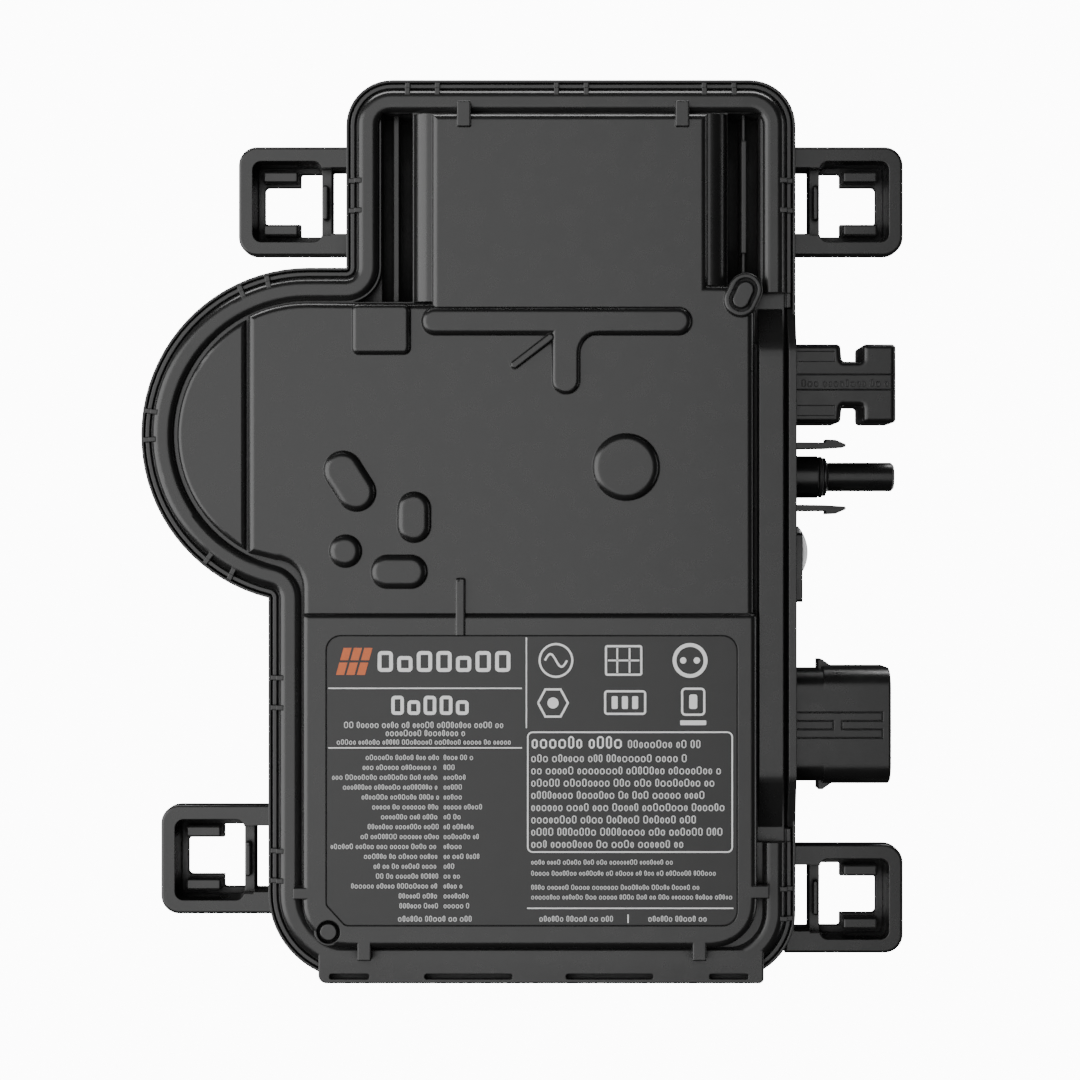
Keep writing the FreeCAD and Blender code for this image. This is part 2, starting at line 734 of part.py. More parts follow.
def build_dc_plug():
    """The upper direct-current connector: a block with a waist, open at its end."""
    half = dim["plug_height"] / 2
    neck = dim["plug_neck"] / 2
    start = dim["body_right"]
    end = dim["plug_end"]
    front = port_y() - dim["plug_depth"] / 2
    outline = rounded([
        (start, -half, 0), (75.5, -half, 1.0), (75.9, -neck, 0.8), (80.7, -neck, 0.8),
        (80.7, -half, 1.0), (end, -half, 1.0), (end, half, 1.0), (80.7, half, 1.0),
        (80.7, neck, 0.8), (75.9, neck, 0.8), (75.5, half, 1.0), (start, half, 0)])
    shell = padded("dc_plug_block", outline, "plug_depth", "plug_z")
    shell = soften("dc_plug_round", shell, 1.3, lambda edge: edge.BoundBox.YLength < 1e-4
                   and edge.BoundBox.XLength > 4 and abs(edge.CenterOfMass.z - dim["plug_z"]) > half - 0.1)
    solid = fuse("dc_plug_mass", [
        shell,
        port_rod("dc_plug_stub", "plug_z", STUB_RADIUS, 60.0, 6),
        port_rod("dc_plug_collar", "plug_z", 7.2, 57.4, 2.6)])
    hollows = [
        port_rod("dc_plug_mouth", "plug_z", 4.4, 69.0, 30),
        port_rod("dc_plug_lead_in", "plug_z", 6.0, end - 1.2, 5),
        port_rod("dc_plug_throat", "plug_z", 1.5, 50, 30)]
    for low, high, right in ((5.2, 7.6, 74.1), (-7.6, -5.2, 74.1), (2.0, 2.25, end), (-1.6, -1.35, end)):
        hollows.append(block("plug_panel", (start, front - 1, dim["plug_z"] + low),
                             (right, front + 0.5, dim["plug_z"] + high)))
    keep("dc_plug_housing", cut("dc_plug_solid", solid, hollows))
    keep("dc_plug_pin", turned("dc_plug_pin", [
        (54.5, 0), (84.0, 0), (84.0, 0.9), (83.2, 1.5), (54.5, 1.5)], "plug_z"))


def build_dc_socket():
    """The lower direct-current connector: a round nose on a collar."""
    nose = dim["nose_radius"]
    bore = dim["nose_bore"]
    collar = dim["collar_radius"]
    tip = dim["socket_end"]
    neck = nose + 0.2
    keep("dc_socket_body", turned("dc_socket_body", [
        (57.4, bore), (57.4, 6.2), (60.0, 6.2), (60.0, 4.6), (64.4, 4.6), (64.4, collar),
        (70.7, collar), (70.7, neck), (72.1, neck), (72.1, 4.6), (72.6, 4.6),
        (73.1, nose), (tip - 0.6, nose), (tip, nose - 0.6), (tip, bore)], "socket_z"))
    keep("dc_socket_seal", turned("dc_socket_seal", [
        (70.8, neck), (70.8, 4.5), (71.1, 4.9), (71.7, 4.9), (72.0, 4.5), (72.0, neck)], "socket_z"))
    keep("dc_socket_contact", turned("dc_socket_contact", [
        (54.5, 0), (54.5, bore), (86.0, bore), (86.0, 2.0), (70.0, 2.0), (70.0, 0)], "socket_z"))


def build_latch(node, side):
    """A sprung latch arm beside the nose; side is 1 above it."""
    pivot = (dim["latch_pivot_x"], dim["latch_offset"])
    root = 0.8
    tip = (76.9, pivot[1] + 0.05)
    outline = Outline(pivot[0], pivot[1] - root)
    outline.line(72.4, pivot[1] - 0.7).line(*polar(tip, 0.45, 278)).arc(tip, 0.45, 350, 62)
    outline.line(74.9, pivot[1] + 1.4).line(72.6, pivot[1] + 1.5).line(72.6, pivot[1] + 0.75)
    outline.line(pivot[0], pivot[1] + root).arc(pivot, root, 180, 270)
    arm = padded(node, outline.close(), "latch_width", "socket_z")
    if side < 0:
        arm.Placement.Rotation = FreeCAD.Rotation(Vector(1, 0, 0), 180)
    keep(node, arm)


AC_PIN_PITCH = 7.0


def ac_pins(name, radius, start, length):
    return [port_rod(name, "ac_z", radius, start, length, offset)
            for offset in (-AC_PIN_PITCH, 0.0, AC_PIN_PITCH)]


def ac_catches():
    """Wedges above and below the tube that the mains plug clips over."""
    catches = []
    half = dim["ac_height"] / 2
    for side in (-1, 1):
        catch = doc.addObject("Part::Wedge", "ac_catch")
        catch.Xmin, catch.Xmax, catch.X2min, catch.X2max = 0, 4.2, 0, 1.0
        catch.Zmin, catch.Zmax, catch.Z2min, catch.Z2max = 0, 7.0, 0, 7.0
        catch.Ymin, catch.Ymax = 0, 2.3
        turn = FreeCAD.Rotation(Vector(1, 0, 0), 90 * side)
        place = Vector(70.7, port_y() + 3.5 * side, dim["ac_z"] + side * (half - 0.6))
        catch.Placement = FreeCAD.Placement(place, turn)
        catches.append(catch)
    return catches


def ac_grooves():
    """Fine lines cut in the front of the tube, as strokes of (x0, z0, x1, z1) about its middle."""
    start = dim["body_right"]
    front = port_y() - dim["ac_depth"] / 2
    middle = dim["ac_z"]
    strokes = [
        (start, -0.7, 73.5, -0.7), (start, 1.3, 73.5, 1.3), (73.5, -0.7, 73.5, 1.3),
        (75.5, -0.7, 75.5, 1.3), (75.5, 1.3, 85.1, 1.3), (75.5, -0.7, 85.1, -0.7),
        (start, 3.3, 85.1, 3.3), (start, -2.7, 85.1, -2.7), (85.1, 1.3, 85.1, 3.3),
        (85.1, -2.7, 85.1, -0.7)]
    half_line = 0.14
    return [block("ac_line", (x0 - half_line, front - 1, middle + z0 - half_line),
                  (x1 + half_line, front + 0.5, middle + z1 + half_line)) for x0, z0, x1, z1 in strokes]


def build_ac_connector():
    """The alternating-current connector: a rounded tube with an insert and three pins."""
    start = dim["body_right"]
    end = dim["ac_end"]
    floor = 68.0
    wall = 1.8
    tall = dim["ac_height"]
    deep = dim["ac_depth"]
    inner = centred_box(deep - 2 * wall, tall - 2 * wall, 3.4)
    plug_round = centred_box(10.4, 21.2, 2.5)
    waist = 71.4
    outer = port_bar("ac_shell_block", centred_box(deep, tall, 5.0), "ac_z", waist, end - waist)
    mass = fuse("ac_shell_mass", [
        port_bar("ac_root", centred_box(deep, tall - 1.2, 4.6), "ac_z", start, waist - start),
        soften("ac_shell_round", outer, 0.6, at_x(end)),
        port_bar("ac_stub", centred_box(12.6, 21, 3), "ac_z", 60.0, 6),
        port_bar("ac_flange", centred_box(14.8, 24, 4), "ac_z", 57.4, 2.6)] + ac_catches())
    mouth = port_bar("ac_mouth", inner, "ac_z", floor, 30)
    keep("ac_shell", cut("ac_shell_solid", mass, [mouth] + ac_pins("ac_pin_way", 1.6, 50, 30)
                         + ac_grooves()))
    insert = port_bar("ac_insert_block", plug_round, "ac_z", floor, 13.0)
    insert = soften("ac_insert_round", insert, 0.5, at_x(floor + 13.0))
    keep("ac_insert", cut("ac_insert_solid", insert, ac_pins("ac_socket_way", 1.6, 60, 30)
                          + ac_pins("ac_socket_well", 2.6, 75, 30)))
    keep("ac_contacts", fuse("ac_contacts_group", ac_pins("ac_contact", 1.6, 54.5, 24.5)))
    keep("ac_gasket", cut("ac_gasket_ring", port_bar("ac_gasket_outer", inner, "ac_z", floor, 1.4),
                          [port_bar("ac_gasket_inner", plug_round, "ac_z", 60, 20)]))


def build_lamp():
    """The status lamp: a holder on the wall, a domed lens and a light-emitting chip."""
    wall = dim["body_right"]
    radius = dim["lamp_radius"]
    seat = wall + 0.2
    rise = wall + 1.8
    crown = dim["lamp_crown"]
    shade = bar("lamp_shade", box_outline(port_y() - 9.0, 89.2, port_y() - 6.2, 105.6, 0.8), wall, 2.0)
    holder = fuse("lamp_holder_mass", [
        shade,
        port_rod("lamp_base", "lamp_z", radius + 0.4, wall, 0.5),
        port_rod("lamp_stub", "lamp_z", LAMP_STUB_RADIUS, 60.2, 5)])
    keep("lamp_holder", cut("lamp_holder_solid", holder, [
        port_rod("lamp_bore", "lamp_z", 2.0, 55, 20), port_rod("lamp_seat", "lamp_z", radius, seat, 5)]))
    centre = (crown ** 2 - rise ** 2 - radius ** 2) / (2 * (crown - rise))
    dome = Outline(61.0, 0).line(61.0, 2.0).line(seat, 2.0).line(seat, radius).line(rise, radius)
    dome.arc((centre, 0), crown - centre, 20, 0)
    keep("lamp_lens", turned("lamp_lens", dome.close(), "lamp_z"))
    keep("lamp_chip", port_bar("lamp_chip_block", centred_box(2.6, 2.6, 0.3), "lamp_z", 59.2, 1.2))


# ---------------------------------------------------------------- inside the case

def board_outline():
    lobe = (dim["lobe_x"], dim["lobe_z"])
    reach = 33.0
    edge = -53.0
    last = 360 - math.degrees(math.acos((edge - lobe[0]) / reach))
    shape = Outline(edge, 24).line(-44, 10).line(50, 10).line(56.5, 18).line(56.5, 204)
    shape.line(-34, 204).line(-34, lobe[1] + reach).line(lobe[0], lobe[1] + reach)
    return shape.arc(lobe, reach, 180, last).close()


def on_board(name, edges, top, back="board_level", round_radius=0.0):
    """A component standing on the circuit board."""
    part = prism(name, edges, back, top)
    if round_radius:
        part = soften(name + "_round", part, round_radius, at_level(top))
    return part


def build_board():
    holes = [prism("post_hole", circle_outline(place, 1.6), 3, 8) for place in BOARD_POSTS]
    board = prism("board_blank", board_outline(), "board_back_level", "board_level")
    keep("circuit_board", cut("circuit_board_solid", board, holes))


def build_transformer():
    """A round pot core in the lobe, with its winding between the two halves."""
    x, z = dim["lobe_x"] - 1.0, dim["lobe_z"]
    base = dim["half_depth"] - dim["board_level"]
    place = (x, base, z)
    bottom, middle, top = 0.0, -7.0, -14.0
    rear = turned_forward("core_rear", [
        (bottom, 0), (bottom, 27), (middle, 27), (middle, 22.5),
        (-2.5, 22.5), (-2.5, 10), (middle, 10), (middle, 0)], place)
    front = turned_forward("core_front", [
        (top, 0), (top, 27), (middle, 27), (middle, 22.5),
        (-11.5, 22.5), (-11.5, 10), (middle, 10), (middle, 0)], place)
    keep("transformer_core", doc_group("transformer_core_halves", [rear, front], gap=0.1))
    keep("transformer_winding", turned_forward("transformer_winding", [
        (-2.6, 10.6), (-2.6, 22.0), (-11.3, 22.0), (-11.3, 10.6)], place))


def doc_group(name, things, gap=0.0):
    """Several separate solids kept as one node; the last is set forward by the gap."""
    if gap:
        things[-1].Placement.Base = things[-1].Placement.Base + Vector(0, -gap, 0)
    group = doc.addObject("Part::Compound", name)
    group.Links = things
    return group


def build_power_parts():
    transistors = []
    for x in (-8, 6, 20, 34):
        for z in (100, 136):
            transistors.append(on_board("transistor", box_outline(x - 5, z - 7, x + 5, z + 7, 0.6), 11.2))
    keep("transistors", doc_group("transistor_group", transistors))
    pads = [on_board("gap_pad", box_outline(-14, z - 7, 40, z + 7, 0.5), 11.8, 11.2)
            for z in (100, 136)]
    keep("thermal_pads", doc_group("thermal_pad_group", pads))
    keep("heat_spreader", on_board("heat_spreader_plate", box_outline(-15, 90, 41, 146, 2.0), 14.0, 11.8))
    cans = [on_board("capacitor_can", circle_outline((x, z), 7.5), 24.0, "board_level", 0.8)
            for x in (-8, 12, 32) for z in (171, 190)]
    keep("bulk_capacitors", doc_group("bulk_capacitor_group", cans))
    films = [on_board("film_box", box_outline(x - 6, 18, x + 6, 42, 0.8), 22.0, "board_level", 0.5)
             for x in (-32, -17, -2)]
    keep("film_capacitors", doc_group("film_capacitor_group", films))
    discs = [on_board("surge_disc", box_outline(x - 2, 20, x + 2, 34, 1.5), 20.0) for x in (12, 19)]
    keep("surge_suppressors", doc_group("surge_group", discs))
    relays = [on_board("relay_can", box_outline(24, z - 5.5, 42, z + 5.5, 0.6), 21.0, "board_level", 0.5)
              for z in (54, 68)]
    keep("relays", doc_group("relay_group", relays))
    keep("controller_chip", on_board("controller_case", box_outline(-3, 66, 11, 80, 0.4), 8.0))
    keep("memory_chip", on_board("memory_case", box_outline(14, 70, 20, 75, 0.2), 7.8))


def build_chokes():
    """A ring choke for the mains side and a block inductor for the boost stage."""
    base = dim["half_depth"] - dim["board_level"]
    ring = turned_forward("choke_core", [(-3.0, 7.0), (-3.0, 11.0), (-11.0, 11.0), (-11.0, 7.0)],
                  (-34, base, 62))
    keep("choke_core", ring)
    coils = []
    for turn in (90, 270):
        sector = Outline(*polar((-34, 62), 5.6, turn - 60)).arc((-34, 62), 5.6, turn, turn + 60)
        sector.line(*polar((-34, 62), 12.4, turn + 60)).arc((-34, 62), 12.4, turn, turn - 60)
        wound = prism("choke_coil_block", sector.close(), 7.6, 19.4)
        core = cut("choke_coil", wound, [turned_forward("choke_space", [
            (-2.8, 6.8), (-2.8, 11.2), (-11.2, 11.2), (-11.2, 6.8)], (-34, base, 62))])
        coils.append(core)
    keep("choke_windings", doc_group("choke_winding_group", coils))
    core = cut("inductor_block", on_board("inductor_case", box_outline(-42, 76.5, -16, 100.5, 1.0), 21.0),
               [prism("inductor_window", box_outline(-38, 81, -20, 96, 0.5), 9.6, 18.0)])
    post = prism("inductor_post", box_outline(-33, 80.5, -25, 96.5, 0), 12.0, 15.6)
    keep("inductor_core", fuse("inductor_core_solid", [core, post]))
    coil = cut("inductor_coil", prism("inductor_coil_block", box_outline(-37, 81.7, -21, 95.3, 2.5),
                                      10.0, 17.6),
               [prism("inductor_coil_hole", box_outline(-33.2, 76, -24.8, 101), 11.8, 15.8)])
    keep("inductor_winding", coil)


def build_terminals():
    """Copper strips from the connector contacts down to the board."""
    strips = []
    y_top = port_y()
    base = dim["half_depth"] - dim["board_level"]
    for z in (dim["plug_z"], dim["socket_z"]):
        strips.append(fuse("dc_strip", [block("strip_foot", (47, base - 0.8, z - 3), (54.5, base, z + 3)),
                                        block("strip_rise", (53.3, y_top - 3, z - 3), (54.5, base, z + 3))]))
    keep("dc_strips", doc_group("dc_strip_group", strips))
    strips = []
    for offset in (-7.0, 0.0, 7.0):
        z = dim["ac_z"] + offset
        strips.append(fuse("ac_strip", [
            block("strip_foot", (45, base - 0.8, z - 2.2), (54.5, base, z + 2.2)),
            block("strip_rise", (53.3, y_top - 2.2, z - 2.2), (54.5, base, z + 2.2))]))
    keep("ac_strips", doc_group("ac_strip_group", strips))


def build_seal_and_label():
    ring = cut("seal_ring", inset_prism("seal_outer", "seal_outer_inset", "seal_level", "seam_level"),
               [inset_prism("seal_inner", "seal_inner_inset", "floor_level", 22)])
    keep("cover_seal", ring)
    keep("label_plate", prism("label_sheet", sticker_outline(0.15), "recess_level", "sticker_level"))


# ---------------------------------------------------------------- build, check and write

build_cover()
build_housing()
build_seal_and_label()
build_dc_plug()
build_dc_socket()
build_latch("latch_arm_upper", 1)
build_latch("latch_arm_lower", -1)
build_ac_connector()
build_lamp()
build_board()
build_transformer()
build_power_parts()
build_chokes()
build_terminals()
doc.recompute()

faults = []
for thing in doc.Objects:
    if "Invalid" in thing.State or "Error" in thing.State:
        faults.append(thing.Name + " " + ",".join(thing.State))
for node in nodes:
    shape = node.Shape
    if shape.isNull() or not shape.isValid() or not shape.Solids:
        faults.append(node.Label + " has no valid solid")
if faults:
    raise RuntimeError("; ".join(faults))

os.makedirs("parts", exist_ok=True)
for node in nodes:
    box = node.Shape.BoundBox
    print("%-20s %2d solids %9.1f mm3  x %6.1f %6.1f  y %6.1f %6.1f  z %6.1f %6.1f" % (
        node.Label, len(node.Shape.Solids), node.Shape.Volume,
        box.XMin, box.XMax, box.YMin, box.YMax, box.ZMin, box.ZMax))
    node.Shape.exportStep("parts/%s.step" % node.Label)
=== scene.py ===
import json
import math
import random

import bmesh
import bpy
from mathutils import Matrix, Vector


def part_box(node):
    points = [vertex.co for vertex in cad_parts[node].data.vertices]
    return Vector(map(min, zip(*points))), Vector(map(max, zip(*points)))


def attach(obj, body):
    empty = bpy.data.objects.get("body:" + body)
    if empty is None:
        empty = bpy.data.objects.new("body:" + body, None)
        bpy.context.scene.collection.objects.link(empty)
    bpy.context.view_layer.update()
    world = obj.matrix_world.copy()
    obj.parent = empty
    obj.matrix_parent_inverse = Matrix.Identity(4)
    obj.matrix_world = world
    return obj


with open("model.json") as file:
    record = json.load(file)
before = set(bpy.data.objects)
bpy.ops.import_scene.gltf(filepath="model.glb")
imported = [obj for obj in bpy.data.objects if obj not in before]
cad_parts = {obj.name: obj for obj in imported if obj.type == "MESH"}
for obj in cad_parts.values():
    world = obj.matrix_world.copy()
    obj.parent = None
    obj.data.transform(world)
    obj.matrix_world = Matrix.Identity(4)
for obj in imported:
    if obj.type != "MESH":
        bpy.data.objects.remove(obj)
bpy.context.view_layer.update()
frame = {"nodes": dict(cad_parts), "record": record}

MM = 0.001
NODES = frame["nodes"]

# ---------------------------------------------------------------- camera, floor and light

LIP_PLANE = -8.9 * MM            # the case's rim, which sets the picture's scale
DISTANCE = 0.60                  # from the camera to the rim
VIEW_WIDTH = 0.2538              # width seen at the rim
AIM = Vector((4.35 * MM, LIP_PLANE, 103.9 * MM))
BACKDROP = 12.0                  # brightness of the white surroundings to the camera alone
FILL = 0.02                      # brightness of the surroundings as they light the object
FLOOR_HALF = 30.0
FLOOR_DROP = 0.2 * MM            # keeps the floor just clear of the lowest face
CASE_MIDDLE = Vector((0.0, 0.0, 0.106))


def make_camera():
    """Looks straight at the label face, level with the middle of the picture."""
    data = bpy.data.cameras.new("camera")
    data.sensor_width = 36.0
    data.lens = data.sensor_width * DISTANCE / VIEW_WIDTH
    data.clip_start = 0.01
    camera = bpy.data.objects.new("camera", data)
    camera.location = AIM + Vector((0, -DISTANCE, 0))
    camera.rotation_euler = (math.radians(90), 0, 0)
    bpy.context.scene.collection.objects.link(camera)
    bpy.context.scene.camera = camera


def split_by_ray(tree, lit, seen, output):
    """Shows one shader to the camera and lets another one light the object."""
    path = tree.nodes.new("ShaderNodeLightPath")
    mix = tree.nodes.new("ShaderNodeMixShader")
    out = tree.nodes.new(output)
    tree.links.new(path.outputs["Is Camera Ray"], mix.inputs["Fac"])
    tree.links.new(lit.outputs[0], mix.inputs[1])
    tree.links.new(seen.outputs[0], mix.inputs[2])
    tree.links.new(mix.outputs[0], out.inputs["Surface"])


def make_world():
    """A white studio that lights the object only faintly, since the lamps do that."""
    world = bpy.data.worlds.new("studio")
    bpy.context.scene.world = world
    world.use_nodes = True
    tree = world.node_tree
    tree.nodes.clear()
    seen = tree.nodes.new("ShaderNodeBackground")
    seen.inputs["Color"].default_value = (1, 1, 1, 1)
    seen.inputs["Strength"].default_value = BACKDROP
    lit = tree.nodes.new("ShaderNodeBackground")
    lit.inputs["Strength"].default_value = FILL
    split_by_ray(tree, lit, seen, "ShaderNodeOutputWorld")


def make_floor():
    """A plain pale floor as bright as the studio around it."""
    half = FLOOR_HALF
    mesh = bpy.data.meshes.new("floor")
    mesh.from_pydata([(-half, -half, 0), (half, -half, 0), (half, half, 0), (-half, half, 0)],
                     [], [(0, 1, 2, 3)])
    floor = bpy.data.objects.new("floor", mesh)
    floor.location.z = -FLOOR_DROP
    bpy.context.scene.collection.objects.link(floor)
    material = bpy.data.materials.new("floor")
    material.use_nodes = True
    tree = material.node_tree
    tree.nodes.clear()
    lit = tree.nodes.new("ShaderNodeBsdfTransparent")
    seen = tree.nodes.new("ShaderNodeEmission")
    seen.inputs["Strength"].default_value = BACKDROP
    split_by_ray(tree, lit, seen, "ShaderNodeOutputMaterial")
    mesh.materials.append(material)


def area_light(name, place, size, radiance):
    """A plain rectangular light that faces the case, given by how bright its face looks."""
    data = bpy.data.lights.new(name, "AREA")
    data.shape = "RECTANGLE"
    data.size, data.size_y = size
    data.energy = radiance * math.pi * size[0] * size[1]
    light = bpy.data.objects.new(name, data)
    light.visible_camera = False
    light.location = place
    light.rotation_euler = (CASE_MIDDLE - Vector(place)).to_track_quat("-Z", "Y").to_euler()
    bpy.context.scene.collection.objects.link(light)


def make_lights():
    """The front box is what the flat faces mirror, and the rest pick out the rounded edges."""
    level = CASE_MIDDLE.z
    for name, place, size, radiance in (("front_box", (-0.27, -1.4, level), (1.15, 1.4), 2.15),
                                        ("left_box", (-1.2, -0.66, level), (1.6, 1.5), 4.2),
                                        ("top_strip", (0.0, 0.15, 1.0), (1.3, 0.35), 8.0),
                                        ("right_box", (1.4, 0.1, level), (0.5, 1.3), 2.4),
                                        ("rear_left", (-0.85, 0.85, 0.0), (0.6, 1.4), 2.2),
                                        ("rear_right", (0.85, 0.85, 0.0), (0.6, 1.4), 1.8)):
        area_light(name, place, size, radiance)


make_camera()
make_world()
make_floor()
make_lights()


# ---------------------------------------------------------------- materials

class Nodes:
    """A short way to write a node tree."""

    def __init__(self, name):
        self.material = bpy.data.materials.new(name)
        self.material.use_nodes = True
        self.tree = self.material.node_tree
        self.shader = self.tree.nodes["Principled BSDF"]
        self.place = self.tree.nodes.new("ShaderNodeTexCoord").outputs["Object"]

    def link(self, out, into):
        self.tree.links.new(out, into)

    def noise(self, scale, detail=2.0, roughness=0.5):
        """A noise fixed to the piece, with its scale in patches to the metre."""
        node = self.tree.nodes.new("ShaderNodeTexNoise")
        node.inputs["Scale"].default_value = scale
        node.inputs["Detail"].default_value = detail
        node.inputs["Roughness"].default_value = roughness
        self.link(self.place, node.inputs["Vector"])
        return node.outputs["Fac"]

    def spread(self, fac, low, high, start=0.3, stop=0.7):
        """Takes a factor between start and stop to a value between low and high."""
        node = self.tree.nodes.new("ShaderNodeMapRange")
        for socket, value in (("From Min", start), ("From Max", stop), ("To Min", low), ("To Max", high)):
            node.inputs[socket].default_value = value
        self.link(fac, node.inputs["Value"])
        return node.outputs["Result"]

    def blend(self, fac, first, second):
        """A colour between two others."""
        node = self.tree.nodes.new("ShaderNodeMix")
        node.data_type = "RGBA"
        node.inputs["A"].default_value = (*first, 1)
        node.inputs["B"].default_value = (*second, 1)
        self.link(fac, node.inputs["Factor"])
        return node.outputs["Result"]

    def soft_edges(self, radius):
        """Shades sharp edges as if they had a small round, as a mould leaves them."""
        node = self.tree.nodes.new("ShaderNodeBevel")
        node.samples = 6
        node.inputs["Radius"].default_value = radius
        return node.outputs["Normal"]

    def hollows(self, reach):
        """Falls from one in the open towards nothing down a narrow hollow."""
        node = self.tree.nodes.new("ShaderNodeAmbientOcclusion")
        node.samples = 8
        node.inputs["Distance"].default_value = reach
        return node.outputs["AO"]

    def total(self, first, second):
        """The sum of two values, held between nothing and one."""
        node = self.tree.nodes.new("ShaderNodeMath")
        node.use_clamp = True
        self.link(first, node.inputs[0])
        self.link(second, node.inputs[1])
        return node.outputs["Value"]

    def bump(self, fac, distance, strength, after=None):
        """Fine relief, on top of an earlier change of the normal where there is one."""
        node = self.tree.nodes.new("ShaderNodeBump")
        node.inputs["Strength"].default_value = strength
        node.inputs["Distance"].default_value = distance
        self.link(fac, node.inputs["Height"])
        if after is not None:
            self.link(after, node.inputs["Normal"])
        return node.outputs["Normal"]


HOLLOW_REACH = 12 * MM           # how near walls have to be for the sheen to dull
EDGE_ROUND = 0.3 * MM            # the small round that a mould leaves on a sharp edge


def grey(level):
    return (level, level, level)


def moulded(name, dark, light, rough=(0.265, 0.295), grain=5200.0, depth=0.006 * MM, dull_hollows=False):
    """Moulded polymer: a fine spark-eroded grain, faint mottling and uneven sheen."""
    n = Nodes(name)
    n.link(n.blend(n.noise(60.0, 4.0, 0.6), dark, light), n.shader.inputs["Base Color"])
    sheen = n.spread(n.noise(220.0, 3.0), *rough)
    if dull_hollows:
        sheen = n.total(sheen, n.spread(n.hollows(HOLLOW_REACH), 0.7, 0.0, 0.2, 0.5))
    n.link(sheen, n.shader.inputs["Roughness"])
    n.link(n.bump(n.noise(grain), depth, 0.5, n.soft_edges(EDGE_ROUND)), n.shader.inputs["Normal"])
    return n.material


def metal(name, dark, light, rough=(0.2, 0.35)):
    """Plated or drawn metal with faint streaks."""
    n = Nodes(name)
    n.shader.inputs["Metallic"].default_value = 1.0
    n.link(n.blend(n.noise(900.0, 3.0), dark, light), n.shader.inputs["Base Color"])
    n.link(n.spread(n.noise(400.0, 3.0), *rough), n.shader.inputs["Roughness"])
    n.link(n.bump(n.noise(3000.0), 0.004 * MM, 0.4), n.shader.inputs["Normal"])
    return n.material


def lens_material():
    """A translucent white dome that spreads the light of the chip behind it."""
    n = Nodes("lamp_lens")
    n.link(n.blend(n.noise(500.0), (0.78, 0.79, 0.80), (0.84, 0.85, 0.86)), n.shader.inputs["Base Color"])
    n.shader.inputs["Roughness"].default_value = 0.18
    n.shader.inputs["Subsurface Weight"].default_value = 0.4
    n.shader.inputs["Subsurface Radius"].default_value = (4 * MM, 4 * MM, 4 * MM)
    n.shader.inputs["Subsurface Scale"].default_value = 1.0
    return n.material


def ink(name, dark, light):
    """Screen-printed ink: nearly flat, with a slightly uneven cover."""
    n = Nodes(name)
    n.link(n.blend(n.noise(2500.0, 3.0), dark, light), n.shader.inputs["Base Color"])
    n.link(n.spread(n.noise(900.0), 0.45, 0.6), n.shader.inputs["Roughness"])
    return n.material


MATERIALS = {
    "case_black": moulded("case_polymer", grey(0.009), grey(0.011), dull_hollows=True),
    "label_grey": moulded("label_film", grey(0.008), grey(0.010), (0.345, 0.365), 9000.0, 0.003 * MM),
    "connector_black": moulded("connector_nylon", grey(0.007), grey(0.009), (0.26, 0.34)),
    "seal_rubber": moulded("seal_rubber", grey(0.010), grey(0.015), (0.45, 0.6)),
    "contact_metal": metal("tinned_copper", (0.62, 0.60, 0.57), (0.74, 0.73, 0.70)),
    "lamp_white": lens_material(),
    "board_green": moulded("solder_mask", (0.010, 0.075, 0.035), (0.014, 0.10, 0.045), (0.25, 0.35)),
    "ferrite": moulded("ferrite", (0.05, 0.05, 0.055), (0.08, 0.08, 0.085), (0.6, 0.8)),
    "copper": metal("enamelled_copper", (0.45, 0.16, 0.07), (0.62, 0.26, 0.12)),
    "aluminium": metal("aluminium", (0.62, 0.63, 0.65), (0.74, 0.75, 0.77)),
    "component_black": moulded("package_epoxy", (0.018, 0.018, 0.019), (0.026, 0.026, 0.027)),
    "component_grey": moulded("component_case", (0.22, 0.23, 0.25), (0.28, 0.29, 0.31)),
    "pad_grey": moulded("gap_pad", (0.30, 0.33, 0.36), (0.36, 0.39, 0.42), (0.6, 0.8)),
}
WHITE_INK = ink("white_ink", grey(0.80), grey(0.88))
SMALL_INK = ink("small_ink", grey(0.56), grey(0.64))
ORANGE_INK = ink("orange_ink", (0.56, 0.11, 0.025), (0.66, 0.15, 0.04))

for entry in frame["record"]["subparts"]:
    node = NODES[entry["node"]]
    for index in range(len(node.material_slots)):
        node.material_slots[index].material = MATERIALS[entry["material_slot"]]


# ---------------------------------------------------------------- raised print

